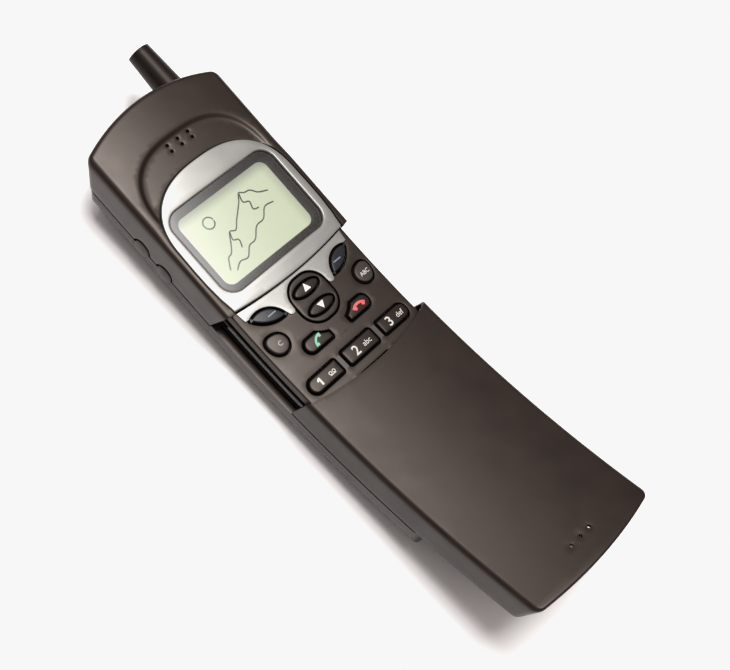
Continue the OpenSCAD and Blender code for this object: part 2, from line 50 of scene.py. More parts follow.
MM = 0.001
FACE_R = 255.4  # radius of the curved front
AXIS_Z = 274.5  # height of the axis that the front curves round
REST_S = 22.0  # where the curved front is level
HALF_W = 24.0
CROWN = 1.53  # height of the front's middle over its sides
SEAM_UP = 10.6
SEAM_GAP = 0.3
EDGE_SLOPE = math.tan(math.radians(12.5))  # lean of the two edges that face each other over the deck
HOUSING_LEN = 60.9
HOUSING_ARC_R, HOUSING_ARC_Y = 151, 149.4  # the housing's lower edge, and its centre towards the antenna
COVER_TOP, COVER_END, COVER_RISE = 30.95, 110.7, 0.71
COVER_LOW = 9.6
COVER_BOW, COVER_ARC_R = 2.7, 90  # the cover's near edge
HOLE_R = 0.55
MIC_S, MIC_X = 105, (-3.8, 0, 3.8)
EAR_HOLES = [(x, y) for x in (-3.78, 0, 3.78) for y in (44.15, 46.1)]
ROCKER_Y = (21.0, 30.0)
ROCKER_D, ROCKER_HOLE_R = -10.9, 3.3
DECK = 2.13
DECK_HALF = 21.7
DECK_END = 71.0
KEY_TOP = -DECK + 0.65
KEY_LOW = -3.8
KEY_GAP = 0.5
STEP_GAP = 0.4
KEY_SHRINK = 0.2
WIN_Y, WIN_W, WIN_H = 17.35, 38.4, 27.3
LCD_W, LCD_H = 33.0, 22.5
ROW_S = [28.1 + 8.3 * i for i in range(4)]
COL_X = 13.75
NAV_S = 9.8
NAV_KEYS = {"nav_up": 6.7, "nav_down": 12.9}
LEAF = (-14.05, 6.3)
LEAF_TILT, LEAF_SPAN = -26.8, 5.1
LEAF_TOP_Y, LEAF_TOP_R = -3.95, 6.45
LEAF_LOW_Y, LEAF_LOW_R = 7.9, 9.4
SHIELD = (-16.85, 13.4)
CALL = (-7.95, 19.3)


def turn(s):
    return (s - REST_S) / FACE_R


def spot(x, s, d):
    """The point (x, s, d) of the telephone, in metres."""
    a = turn(max(s, 0.0))
    r = FACE_R - d
    y, z = -r * math.sin(a), AXIS_Z - r * math.cos(a)
    if s < 0:
        y += -s * math.cos(a)
        z += s * math.sin(a)
    return Vector((x, y, z)) * MM


def crown(x):
    return CROWN * (1 - x * x / HALF_W ** 2)


# ---------------------------------------------------------------- outlines, as lists of (x, s)

def arc(cx, cy, r, a, b, n):
    return [(cx + r * math.cos(math.radians(a + (b - a) * i / n)),
             cy + r * math.sin(math.radians(a + (b - a) * i / n))) for i in range(n + 1)]


def rounded(w, h, rl, rr, n=6):
    """Rounded rectangle round (0, 0) with separate radii on its left and right."""
    return (arc(w / 2 - rr, h / 2 - rr, rr, 90, 0, n) + arc(w / 2 - rr, rr - h / 2, rr, 0, -90, n)
            + arc(rl - w / 2, rl - h / 2, rl, -90, -180, n) + arc(rl - w / 2, h / 2 - rl, rl, 180, 90, n))


def ring(x, y, r, n=14):
    turns = [2 * math.pi * i / n for i in range(n)]
    return [(x + r * math.cos(t), y + r * math.sin(t)) for t in turns]


def mirrored(points):
    return [(-x, y) for x, y in reversed(points)]


def placed(points, x, s):
    """Local (x, y), y towards the antenna, to (x, s) about a centre."""
    return [(x + px, s - py) for px, py in points]


def turned(points, degrees):
    a = math.radians(degrees)
    return [(u * math.cos(a) - v * math.sin(a), u * math.sin(a) + v * math.cos(a)) for u, v in points]


def leaf(g=0.0):
    """Soft key, grown by g: two arcs meeting in points."""
    up_end = math.degrees(math.acos((LEAF_SPAN + g) / (LEAF_TOP_R + g)))
    low_end = math.degrees(math.acos((LEAF_SPAN + g) / (LEAF_LOW_R + g)))
    up = arc(0, LEAF_TOP_Y, LEAF_TOP_R + g, 180 - up_end, up_end, 16)
    low = arc(0, LEAF_LOW_Y, LEAF_LOW_R + g, -low_end, -180 + low_end, 14)
    return turned(up + low, LEAF_TILT)


def shield(g=0.0):
    """Round key, grown by g, drawn out towards its outer upper corner."""
    radius, beak, towards = 2.95, 0.75, math.radians(135)
    out = []
    for a in range(0, 360, 9):
        t = math.radians(a)
        r = radius + g + beak * max(0.0, math.cos(t - towards)) ** 5
        out.append((r * math.cos(t), r * math.sin(t)))
    return out


def call(g=0.0):
    """Call key, grown by g: round outer end, inner end hollowed by the circle of the navigation island."""
    cx, cy, r = 7.95, 9.0, 9.8 - g
    out = []
    for x, y in densified(rounded(8.8 + 2 * g, 4.2 + 2 * g, 2 + g, 0.4 + g), 0.35):
        away = math.hypot(x - cx, y - cy)
        if away < r:
            x, y = cx + (x - cx) * r / away, cy + (y - cy) * r / away
        out.append((x, y))
    return out


def oval(g=0.0):
    """Navigation key, grown by g."""
    return [(x * (4.5 + g), y * (1.75 + g)) for x, y in ring(0, 0, 1, 40)]


def densified(points, step):
    """Closed outline with no stretch longer than step and no doubled points."""
    out = []
    for (x0, y0), (x1, y1) in zip(points, points[1:] + points[:1]):
        length = math.hypot(x1 - x0, y1 - y0)
        if length < 1e-6:
            continue
        n = max(1, math.ceil(length / step))
        out += [(x0 + (x1 - x0) * i / n, y0 + (y1 - y0) * i / n) for i in range(n)]
    return out


def area(points):
    return 0.5 * sum(x0 * y1 - x1 * y0 for (x0, y0), (x1, y1) in zip(points, points[1:] + points[:1]))


def inset(points, e):
    """Closed outline moved inwards by e: to the left of its direction of travel."""
    out = []
    n = len(points)
    for i in range(n):
        (xa, ya), (xb, yb), (xc, yc) = points[i - 1], points[i], points[(i + 1) % n]
        la, lb = math.hypot(xb - xa, yb - ya), math.hypot(xc - xb, yc - yb)
        nx = -(yb - ya) / la - (yc - yb) / lb
        ny = (xb - xa) / la + (xc - xb) / lb
        size = math.hypot(nx, ny) or 1.0
        miter = min(1.6, 2.0 / max(size, 0.5)) if size < 2 else 1.0
        out.append((xb + nx / size * e * miter, yb + ny / size * e * miter))
    return out


def inside(points, x, y):
    hit = False
    for (x0, y0), (x1, y1) in zip(points, points[1:] + points[:1]):
        if (y0 > y) != (y1 > y) and x < (x1 - x0) * (y - y0) / (y1 - y0) + x0:
            hit = not hit
    return hit


# ---------------------------------------------------------------- meshes

def fill(loops, step, extra=()):
    """Triangulates the region inside loops[0] and outside the others, with grid points between them.
    Returns (points, triangles, positions of each loop's points)."""
    points, edges, where = [], [], []
    for loop in loops:
        first = len(points)
        points += loop
        where.append(list(range(first, len(points))))
        edges += [(first + i, first + (i + 1) % len(loop)) for i in range(len(loop))]
    rim = list(points)
    xs = [p[0] for p in loops[0]]
    ys = [p[1] for p in loops[0]]
    wide, high = max(xs) - min(xs), max(ys) - min(ys)
    spare = list(extra)
    nx = int(wide / step)
    ny = int(high / step)
    for j in range(1, ny + 1):
        for i in range(1, nx + 1):
            shift = 0.5 * (j % 2)
            spare.append((min(xs) + (i - shift) * wide / (nx + 0.5), min(ys) + j * high / (ny + 1)))
    cell = {}
    for x, y in rim:
        cell.setdefault((int(x // step), int(y // step)), []).append((x, y))
    for k, (x, y) in enumerate(spare):
        gap = step * (0.3 if k < len(extra) else 0.62)
        near = False
        for i in (-1, 0, 1):
            for j in (-1, 0, 1):
                for px, py in cell.get((int(x // step) + i, int(y // step) + j), ()):
                    if math.hypot(px - x, py - y) < gap:
                        near = True
        if near or not inside(loops[0], x, y) or any(inside(h, x, y) for h in loops[1:]):
            continue
        points.append((x, y))
        cell.setdefault((int(x // step), int(y // step)), []).append((x, y))
    found = delaunay_2d_cdt([Vector(p) for p in points], edges, [], 1, 1e-7)
    spots = [tuple(v) for v in found[0]]
    back = {}
    for new, olds in enumerate(found[3]):
        for old in olds:
            back[old] = new
    triangles = []
    for tri in found[2]:
        cx = sum(spots[i][0] for i in tri) / 3
        cy = sum(spots[i][1] for i in tri) / 3
        if inside(loops[0], cx, cy) and not any(inside(h, cx, cy) for h in loops[1:]):
            triangles.append(tuple(tri))
    return spots, triangles, [[back[i] for i in loop] for loop in where]


def bridge(bm, rows):
    """Faces between each closed row of points and the next."""
    for a, b in zip(rows, rows[1:]):
        for i in range(len(a)):
            j = (i + 1) % len(a)
            bm.faces.new((a[i], a[j], b[j], b[i]))


def finish_mesh(bm, name, look, body, stands_for=(), sharp=40):
    """Turns bm into a smooth-shaded piece that rides body and stands for the named CAD nodes."""
    bmesh.ops.remove_doubles(bm, verts=bm.verts, dist=1e-7)
    bmesh.ops.recalc_face_normals(bm, faces=bm.faces)
    mesh = bpy.data.meshes.new(name)
    bm.to_mesh(mesh)
    bm.free()
    for face in mesh.polygons:
        face.use_smooth = True
    mesh.set_sharp_from_angle(angle=math.radians(sharp))
    mesh.materials.append(look)
    piece = bpy.data.objects.new(name, mesh)
    bpy.context.scene.collection.objects.link(piece)
    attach(piece, body)
    if stands_for:
        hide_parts(*stands_for)
    return piece


def rounding(r, steps=4):
    """(inset, drop) pairs from the flat top to the start of the wall."""
    return [(r * (1 - math.sin(math.pi / 2 * i / steps)), r * (1 - math.cos(math.pi / 2 * i / steps)))
            for i in range(steps + 1)]


def add_plate(bm, outer, holes, top, low, r, step=1.0, hole_r=None, lift=None):
    """Adds a closed plate to bm. Its upper face follows the crown at height top, its lower face at low,
    and its upper edges are rounded by r (hole_r round the holes). lift(x, s) raises the upper face."""
    hole_r = r if hole_r is None else hole_r
    loops = [outer if area(outer) > 0 else outer[::-1]] + [h if area(h) < 0 else h[::-1] for h in holes]
    radii = [r] + [hole_r] * len(holes)
    inner = [inset(loop, rad) for loop, rad in zip(loops, radii)]
    spots, triangles, where = fill(inner, step)
    raised = lift or (lambda x, s: 0.0)
    rim = {i for loop in where for i in loop}

    def put(x, s, d, lifted=0.0):
        return bm.verts.new(spot(x, s, d + crown(x) + lifted))

    upper = [put(x, s, top, raised(x, s)) for x, s in spots]
    lower = [None if i in rim else bm.verts.new(spot(x, s, low + crown(x)))
             for i, (x, s) in enumerate(spots)]
    for loop, start, rad, ids in zip(loops, inner, radii, where):
        rows = [[upper[i] for i in ids]]
        for e, h in rounding(rad)[1:]:
            rows.append([put(x, s, top - h, raised(ix, js))
                         for (x, s), (ix, js) in zip(inset(loop, e), start)])
        rows.append([bm.verts.new(spot(x, s, low + crown(x))) for x, s in loop])
        for a, b in zip(rows, rows[1:]):
            for i in range(len(loop)):
                j = (i + 1) % len(loop)
                bm.faces.new((a[i], b[i], b[j], a[j]))
        for i, v in zip(ids, rows[-1]):
            lower[i] = v
    for a, b, c in triangles:
        bm.faces.new((upper[a], upper[b], upper[c]))
        bm.faces.new((lower[c], lower[b], lower[a]))


def add_skin(bm, ends, side_r, end_r, rise, low, edge_line, fill_step,
             holes=(), extra=(), drop=None, flare=0.0):
    """Adds an open skin: a crowned front, rounded long edges and walls on three sides, down to -low.
    ends holds the far end: (sign, apex s, arch radius, corner radius, tilt), and edge_line(x, d) is the
    arc position of the near edge, where the skin stays open. The near edge of the front is the list
    holes[0] of (x, s) points from right to left. side_r and end_r round the long edges and the far one,
    and flare is added to side_r towards the far end. drop(x, s) sinks the front."""
    sign, apex, arch, corner, tilt = ends
    side_steps, corner_steps, arch_steps, round_steps, wall_steps = 60, 8, 30, 6, 4
    slant = math.tan(math.radians(tilt))
    yc = math.sqrt((arch - corner) ** 2 - (HALF_W - corner) ** 2) - arch
    ac = math.degrees(math.atan2(yc + arch, HALF_W - corner))
    path = []
    for i in range(side_steps):
        u = i / side_steps
        t = min(1.0, max(0.0, (u - 0.42) / 0.16))
        path.append((-HALF_W, u, 1.0, 0.0, side_r + flare * t * t * (3 - 2 * t), True))
    for k, (x, u) in enumerate(arc(corner - HALF_W, yc, corner, 180, 180 - ac, corner_steps)):
        mix = k / corner_steps
        a = math.radians(180 - ac * k / corner_steps)
        r = side_r + flare + (end_r - side_r - flare) * mix
        path.append((x, u, -math.cos(a), -math.sin(a), r, False))
    for k, (x, u) in list(enumerate(arc(0, -arch, arch, 180 - ac, ac, arch_steps)))[1:-1]:
        a = math.radians(180 - ac + (2 * ac - 180) * k / arch_steps)
        path.append((x, u, -math.cos(a), -math.sin(a), end_r, False))
    left = [p for p in path if p[-1] or abs(p[0]) > HALF_W - corner - 1e-6]
    path += [(-x, u, -nx, nu, r, side) for x, u, nx, nu, r, side in reversed(left)]

    def place(x, u, nx, nu, e, d, side):
        px = x + nx * e
        if side:
            far = apex + sign * (yc + slant * d)
            return px, edge_line(px, d) * (1 - u) + far * u
        return px, apex + sign * (u + nu * e + slant * d)

    levels = rounding(1.0, round_steps) + [(0.0, None)] * wall_steps
    rows = []
    for n, (e, h) in enumerate(levels):
        row = []
        for x, u, nx, nu, r, side in path:
            ix = x + nx * r
            top = rise + crown(ix)
            if h is None:
                w = (n - round_steps) / wall_steps
                d = (top - r) * (1 - w) - low * w
            else:
                d = top - r * h
            px, s = place(x, u, nx, nu, e * r, d, side)
            row.append((px, s, d))
        rows.append(row)
    first = [(x, s) for x, s, d in rows[0]]
    near = list(holes[0])
    spots, triangles, where = fill([first + near] + [list(h) for h in holes[1:]], fill_step, extra)
    sink = drop or (lambda x, s: 0.0)
    upper = [bm.verts.new(spot(x, s, rise + crown(x) - sink(x, s))) for x, s in spots]
    for a, b, c in triangles:
        bm.faces.new((upper[a], upper[b], upper[c]))
    above = [upper[i] for i in where[0][:len(first)]]
    for row in rows[1:]:
        below = [bm.verts.new(spot(x, s, d)) for x, s, d in row]
        for i in range(len(row) - 1):
            bm.faces.new((above[i], below[i], below[i + 1], above[i + 1]))
        above = below


def thicken(piece, thickness, bevel=0.2):
    mod = piece.modifiers.new("wall", "SOLIDIFY")
    mod.thickness = thickness * MM
    mod.offset = -1
    if bevel:
        soften(piece, bevel)


def soften(piece, width):
    mod = piece.modifiers.new("edges", "BEVEL")
    mod.width = width * MM
    mod.segments = 3
    mod.limit_method = "ANGLE"
    mod.angle_limit = math.radians(40)
    mod.harden_normals = False


def cut(piece, tool):
    """Subtracts tool from piece and throws tool away."""
    mod = piece.modifiers.new("cut", "BOOLEAN")
    mod.object = tool
    mod.solver = "EXACT"
    bpy.context.view_layer.update()
    view = bpy.context.evaluated_depsgraph_get()
    solid = bpy.data.meshes.new_from_object(piece.evaluated_get(view))
    piece.modifiers.clear()
    piece.data = solid
    bpy.data.objects.remove(tool)


# ---------------------------------------------------------------- materials

WARM = (1.0, 0.88, 0.80)


def material(name, colour, rough, metallic=0.0, patch=0.06, patch_size=120.0, grain=0.12,
             grain_size=4200.0, sheen_tint=(1, 1, 1), rough_spread=0.08, specular=0.5, alpha=1.0):
    """Principled material whose colour and roughness drift gently and whose surface has a fine grain."""
    mat = bpy.data.materials.new(name)
    mat.use_nodes = True
    tree = mat.node_tree
    shader = tree.nodes["Principled BSDF"]
    shader.inputs["Metallic"].default_value = metallic
    shader.inputs["Specular IOR Level"].default_value = specular
    shader.inputs["Specular Tint"].default_value = (*sheen_tint, 1)
    shader.inputs["Alpha"].default_value = alpha
    where = tree.nodes.new("ShaderNodeTexCoord")
    drift = tree.nodes.new("ShaderNodeTexNoise")
    drift.inputs["Scale"].default_value = patch_size
    drift.inputs["Detail"].default_value = 5.0
    tint = tree.nodes.new("ShaderNodeValToRGB")
    tint.color_ramp.elements[0].position = 0.3
    tint.color_ramp.elements[1].position = 0.7
    tint.color_ramp.elements[0].color = [c * (1 - patch) for c in colour] + [1]
    tint.color_ramp.elements[1].color = [min(1, c * (1 + patch)) for c in colour] + [1]
    gloss = tree.nodes.new("ShaderNodeMapRange")
    gloss.inputs["To Min"].default_value = max(0.02, rough - rough_spread)
    gloss.inputs["To Max"].default_value = rough + rough_spread
    fine = tree.nodes.new("ShaderNodeTexNoise")
    fine.inputs["Scale"].default_value = grain_size
    fine.inputs["Detail"].default_value = 2.0
    bump = tree.nodes.new("ShaderNodeBump")
    bump.inputs["Strength"].default_value = grain
    bump.inputs["Distance"].default_value = 0.00003
    link = tree.links.new
    link(where.outputs["Object"], drift.inputs["Vector"])
    link(where.outputs["Object"], fine.inputs["Vector"])
    link(drift.outputs["Fac"], tint.inputs["Fac"])
    link(drift.outputs["Fac"], gloss.inputs["Value"])
    link(tint.outputs["Color"], shader.inputs["Base Color"])
    link(gloss.outputs["Result"], shader.inputs["Roughness"])
    link(fine.outputs["Fac"], bump.inputs["Height"])
    link(bump.outputs["Normal"], shader.inputs["Normal"])
    return mat


def shade_sides(mat):
    """Darkens a flat piece towards its upper and right edges, where the frame round it keeps light off."""
    tree = mat.node_tree
    link = tree.links.new
    paint = tree.nodes["Principled BSDF"].inputs["Base Color"]
    where = tree.nodes.new("ShaderNodeTexCoord")
    across = tree.nodes.new("ShaderNodeSeparateXYZ")
    link(where.outputs["Generated"], across.inputs["Vector"])
    both = tree.nodes.new("ShaderNodeMath")
    both.operation = "MULTIPLY"
    for k, (axis, start, least) in enumerate((("Y", 0.80, 0.42), ("X", 0.86, 0.72))):
        fall = tree.nodes.new("ShaderNodeMapRange")
        fall.interpolation_type = "SMOOTHSTEP"
        fall.inputs["From Min"].default_value = start
        fall.inputs["From Max"].default_value = 0.98
        fall.inputs["To Min"].default_value = 1.0
        fall.inputs["To Max"].default_value = least
        link(across.outputs[axis], fall.inputs["Value"])
        link(fall.outputs["Result"], both.inputs[k])
    dim = tree.nodes.new("ShaderNodeVectorMath")
    dim.operation = "SCALE"
    link(paint.links[0].from_socket, dim.inputs[0])
    link(both.outputs["Value"], dim.inputs["Scale"])
    link(dim.outputs["Vector"], paint)


BODY_COLOUR = (0.0108, 0.0068, 0.0056)
shell_mat = material("satin_brown_plastic", BODY_COLOUR, 0.37, patch=0.05, grain=0.35,
                     specular=0.35, sheen_tint=WARM)
cover_mat = material("worn_brown_plastic", BODY_COLOUR, 0.42, patch=0.16, grain=0.5,
                     specular=0.27, sheen_tint=WARM)
deck_mat = material("deck_plastic", BODY_COLOUR, 0.42, patch=0.05, grain=0.3,
                    specular=0.36, sheen_tint=WARM)
rail_mat = material("rail_plastic", (0.016, 0.014, 0.013), 0.4)
key_mat = material("key_plastic", (0.010, 0.0072, 0.0063), 0.36, grain=0.1, specular=0.24, sheen_tint=WARM)
soft_mat = material("soft_key_plastic", (0.011, 0.0115, 0.014), 0.34, grain=0.1, specular=0.22)
clear_mat = material("round_key_plastic", (0.028, 0.024, 0.023), 0.4, grain=0.1,
                     specular=0.3, sheen_tint=WARM)
gloss_mat = material("gloss_dark_plastic", (0.013, 0.010, 0.009), 0.35, grain=0.1,
                     specular=0.32, sheen_tint=WARM)
frame_mat = material("display_frame_plastic", (0.007, 0.0055, 0.005), 0.5, grain=0.1,
                     specular=0.1, sheen_tint=WARM)
silver_mat = material("silver_paint", (0.24, 0.237, 0.226), 0.38, metallic=0.55, patch=0.03, grain=0.25,
                      grain_size=9000.0)
rubber_mat = material("antenna_rubber", (0.0075, 0.005, 0.0045), 0.4, grain=0.3,
                      specular=0.17, sheen_tint=WARM)
window_mat = material("clear_window", (0.95, 0.95, 0.95), 0.35, metallic=1.0, patch=0.02, grain=0.0,
                      alpha=0.023, rough_spread=0.02)
lcd_mat = material("display_green", (0.34, 0.393, 0.273), 0.5, patch=0.02, patch_size=60.0, grain=0.0)
shade_sides(lcd_mat)
guide_mat = material("guide_plastic", (0.8, 0.82, 0.78), 0.3)
steel_mat = material("steel_plate", (0.55, 0.55, 0.56), 0.3, metallic=1.0, patch=0.08, grain=0.2)
brass_mat = material("brass", (0.72, 0.52, 0.22), 0.28, metallic=1.0, patch=0.08)
board_mat = material("circuit_board", (0.02, 0.11, 0.045), 0.4, patch=0.25, patch_size=300.0)
film_mat = material("dome_film", (0.62, 0.62, 0.6), 0.35)
foam_mat = material("foam", (0.02, 0.02, 0.02), 0.9, grain=0.8, grain_size=1500.0)
mat_mat = material("mat_rubber", (0.16, 0.16, 0.165), 0.6)
cell_mat = material("cell_sleeve", (0.05, 0.10, 0.25), 0.35)
legend_mat = material("legend_paint", (0.50, 0.48, 0.45), 0.5, grain=0.1)
white_mat = material("arrow_paint", (0.70, 0.69, 0.66), 0.5, grain=0.1)
dash_mat = material("dash_paint", (0.13, 0.17, 0.24), 0.5, grain=0.1)
send_mat = material("send_paint", (0.13, 0.40, 0.27), 0.5, grain=0.1)
end_mat = material("end_paint", (0.60, 0.07, 0.08), 0.5, grain=0.1)
ink_mat = material("display_ink", (0.23, 0.275, 0.195), 0.6, grain=0.0)
grey_mat = material("grey_legend_paint", (0.34, 0.33, 0.32), 0.5, grain=0.1)
web_mat = material("web_plastic", (0.026, 0.022, 0.020), 0.5, grain=0.2)
# Near-black material that hardly reflects: painted shade for the dark insides of holes and gaps.
painted_shade_mat = material("painted_shade_black", (0.002, 0.002, 0.002), 0.95, grain=0.5, specular=0.02)
dark_mat = material("dark_inside", (0.012, 0.011, 0.010), 0.7)

CAD_LOOKS = {
    shell_mat: ["rear_shell", "battery_case"],
    rail_mat: ["slide_rails", "cover_liner", "battery_latch", "sim_holder", "buzzer"],
    rubber_mat: ["power_key", "antenna_stub"],
    guide_mat: ["light_guide"],
    lcd_mat: ["lcd_glass"],
    steel_mat: ["lcd_tray", "rf_shield", "ear_speaker", "mic_capsule", "side_switches", "latch_spring",
                "case_screws", "charge_jack"],
    brass_mat: ["battery_contacts", "antenna_base", "mic_strips", "link_contacts"],
    board_mat: ["keypad_board", "main_board"],
    film_mat: ["dome_sheet"],
    foam_mat: ["ear_gasket"],
    mat_mat: ["keymat"],
    cell_mat: ["battery_cells"],
}
BEVELS = {"rear_shell": 0.35, "battery_case": 0.4, "antenna_stub": 0.5, "slide_rails": 0.2,
          "cover_liner": 0.08, "battery_latch": 0.25, "power_key": 0.3, "case_screws": 0.15,
          "charge_jack": 0.15}
for look, names in CAD_LOOKS.items():
    for name in names:
        node = nodes[name]
        node.data.materials.clear()
        node.data.materials.append(look)
        weld = node.modifiers.new("weld", "WELD")
        weld.merge_threshold = 0.000002
        if name in BEVELS:
            soften(node, BEVELS[name])

# ---------------------------------------------------------------- volume rocker

def rocker_bar():
    """Volume rocker on the left wall: two round bumps and the flat bar that joins them."""
    bump_d, bump_r, edge_r, edge_x = -11.15, 2.75, 0.6, -23.75
    profile = [(bump_r, -22.4), (bump_r, edge_x)]
    for i in range(1, 5):
        t = math.pi / 2 * i / 4
        profile.append((bump_r - edge_r * (1 - math.cos(t)), edge_x - 0.42 * math.sin(t)))
    profile += [(1.5, -24.3), (0.7, -24.42)]
    bm = bmesh.new()
    for centre in ROCKER_Y:
        rows = [[bm.verts.new(spot(x, -y, d)) for y, d in ring(centre, bump_d, r, 40)] for r, x in profile]
        bridge(bm, rows)
        bm.faces.new(rows[0][::-1])
        bm.faces.new(rows[-1])
    plate_r, waist_d = 3.13, -13.62
    near, far = ROCKER_Y
    plate = arc(near, ROCKER_D, plate_r, 180, 270, 10) + [(near + 2.9, waist_d), (far - 2.9, waist_d)]
    plate += arc(far, ROCKER_D, plate_r, -90, 0, 10)
    outer, inner = ([bm.verts.new(spot(x, -y, d)) for y, d in plate] for x in (-23.97, -22.6))
    bm.faces.new(outer)
    bm.faces.new(inner[::-1])
    for i in range(len(plate)):
        j = (i + 1) % len(plate)
        bm.faces.new((outer[i], inner[i], inner[j], outer[j]))
    finish_mesh(bm, "rocker_bar", shell_mat, "rocker", ["volume_rocker"])


rocker_bar()

# ---------------------------------------------------------------- slide cover

def cover_edge(x, d):
    """Arc position of the cover's near edge."""
    return COVER_TOP + COVER_BOW - (COVER_ARC_R - math.sqrt(COVER_ARC_R ** 2 - x * x)) + EDGE_SLOPE * d


def near_points(edge, rise, reach, count):
    """Points of a near edge from x = reach to -reach, on the crowned front."""
    out = []
    for i in range(1, count):
        x = reach - 2 * reach * i / count
        out.append((x, edge(x, rise + crown(x))))
    return out


bm = bmesh.new()
cover_side_r = 1.8
cover_front = near_points(cover_edge, COVER_RISE, HALF_W - cover_side_r, 40)
add_skin(bm, (1, COVER_END + 1.2, 173, 2.6, 26), cover_side_r, 1.3, COVER_RISE, COVER_LOW - SEAM_GAP,
         cover_edge, 1.6, holes=[cover_front] + [ring(x, MIC_S, HOLE_R) for x in MIC_X])
cover = finish_mesh(bm, "cover_shell", cover_mat, "slide_cover", ["slide_cover"])
thicken(cover, 1.2)

# ---------------------------------------------------------------- display housing

def housing_edge(x, d):
    """Arc position of the housing's lower edge."""
    bow = HOUSING_ARC_R - math.sqrt(HOUSING_ARC_R ** 2 - x * x)
    return HOUSING_ARC_R - HOUSING_ARC_Y - bow + EDGE_SLOPE * d


def bezel_arch(g=0.0):
    """Bezel side and top, grown by g, from lower right to lower left, as (x, s)."""
    side = [(21.1, 0.6), (21.4, -2.5), (21.8, -5), (22.15, -10), (22.2, -15), (22.1, -20)]
    right = [(x + g, s) for x, s in side]
    count = 44
    top = []
    for i in range(1, count):
        a = math.pi * i / count
        top.append((math.copysign((22.1 + g) * abs(math.cos(a)) ** 0.8, math.cos(a)),
                    -20 - (19 + g) * math.sin(a) ** 0.78))
    return right + top + mirrored(right)


# The earpiece panel has straight sides at EAR_HALF from EAR_START to EAR_FOOT, and over them a rounded
# arch of height EAR_ARCH. It sinks to EAR_DEPTH within EAR_RAMP of its outline and fades in over EAR_FADE.
EAR_HALF, EAR_START, EAR_FADE, EAR_FOOT, EAR_ARCH = 20.9, 20, 16, 30, 18.6
EAR_POWER_X, EAR_POWER_Y, EAR_SPREAD, EAR_REACH = 0.72, 0.8, 0.39, 20
EAR_DEPTH, EAR_RAMP = 0.75, 1.6


def ear_depth(x, s):
    """How far the panel round the earpiece lies below the front of the housing."""
    y = -s
    if y < EAR_START:
        return 0.0
    up = max(0.0, y - EAR_FOOT) / EAR_ARCH
    q = (abs(x) / EAR_HALF) ** (2 / EAR_POWER_X) + up ** (2 / EAR_POWER_Y)
    if q >= 1:
        return 0.0
    m = EAR_REACH * (1 - q ** EAR_SPREAD)
    t = min(1.0, m / EAR_RAMP)
    fade = min(1.0, (y - EAR_START) / EAR_FADE)
    return EAR_DEPTH * t * t * (3 - 2 * t) * fade * fade * (3 - 2 * fade)


def ear_points():
    """Points along the ramp of the earpiece panel, so that the mesh follows it."""
    count = 170
    out = []
    for m in (0.0, 0.4, 0.8, 1.2, EAR_RAMP):
        k = (1 - m / EAR_REACH) ** (1 / EAR_SPREAD * 0.5)
        for i in range(1, count):
            a = math.pi * i / count
            out.append((math.copysign(EAR_HALF * abs(math.cos(a) * k) ** EAR_POWER_X, math.cos(a)),
                        -EAR_FOOT - EAR_ARCH * (math.sin(a) * k) ** EAR_POWER_Y))
        for y in range(EAR_START, EAR_FOOT):
            out += [(EAR_HALF - m, -y), (m - EAR_HALF, -y)]
    return out


bm = bmesh.new()
notch = [(x, min(s, housing_edge(x, crown(x)))) for x, s in bezel_arch(0.05)]
add_skin(bm, (-1, -HOUSING_LEN, 62.9, 3, 22), 1.6, 2.1, 0.0, SEAM_UP - SEAM_GAP, housing_edge, 1.1,
         holes=[notch] + [ring(x, -y, HOLE_R) for x, y in EAR_HOLES],
         extra=ear_points(), drop=ear_depth, flare=0.7)
housing = finish_mesh(bm, "housing_front", shell_mat, "handset", ["front_housing"])
thicken(housing, 1.4, bevel=0)
for y in ROCKER_Y:
    bm = bmesh.new()
    bmesh.ops.create_cone(bm, cap_ends=True, segments=48, radius1=ROCKER_HOLE_R * MM,
                          radius2=ROCKER_HOLE_R * MM, depth=4 * MM)
    drill_mesh = bpy.data.meshes.new("drill")
    bm.to_mesh(drill_mesh)
    bm.free()
    drill = bpy.data.objects.new("drill", drill_mesh)
    place = Matrix.Translation(spot(-HALF_W, -y, ROCKER_D))
    drill.matrix_world = place @ Matrix.Rotation(math.pi / 2, 4, "Y")
    bpy.context.scene.collection.objects.link(drill)
    cut(housing, drill)
soften(housing, 0.06)

# A black disc low in each earpiece hole: painted shade for the dark inside of the hole.
for x, y in EAR_HOLES:
    bm = bmesh.new()
    level = crown(x) - EAR_DEPTH
    shade_outline = ring(x, -y, 0.52, 24)
    low, high = ([bm.verts.new(spot(u, v, level - depth)) for u, v in shade_outline] for depth in (0.9, 0.4))
    bm.faces.new(low[::-1])
    bm.faces.new(high)
    bridge(bm, [low, high])
    finish_mesh(bm, "ear_hole_shade_%d_%d" % (round(x + 4), round(y)), painted_shade_mat, "handset")

bm = bmesh.new()
lower = [(x, housing_edge(x, crown(x)) - 0.6) for x in [-20.85 + 41.7 * i / 40 for i in range(41)]]
outline = densified(lower + [(x, s) for x, s in bezel_arch(-0.3) if s < -1.5], 0.8)
window_hole = placed(rounded(WIN_W - 0.1, WIN_H - 0.1, 4.5, 4.5, 8), 0, -WIN_Y)
add_plate(bm, outline, [densified(window_hole, 0.8)], 0.0, -0.7, 0.3, 1.1, hole_r=0.45)
finish_mesh(bm, "bezel_plate", silver_mat, "handset", ["display_bezel"])

# ---------------------------------------------------------------- display

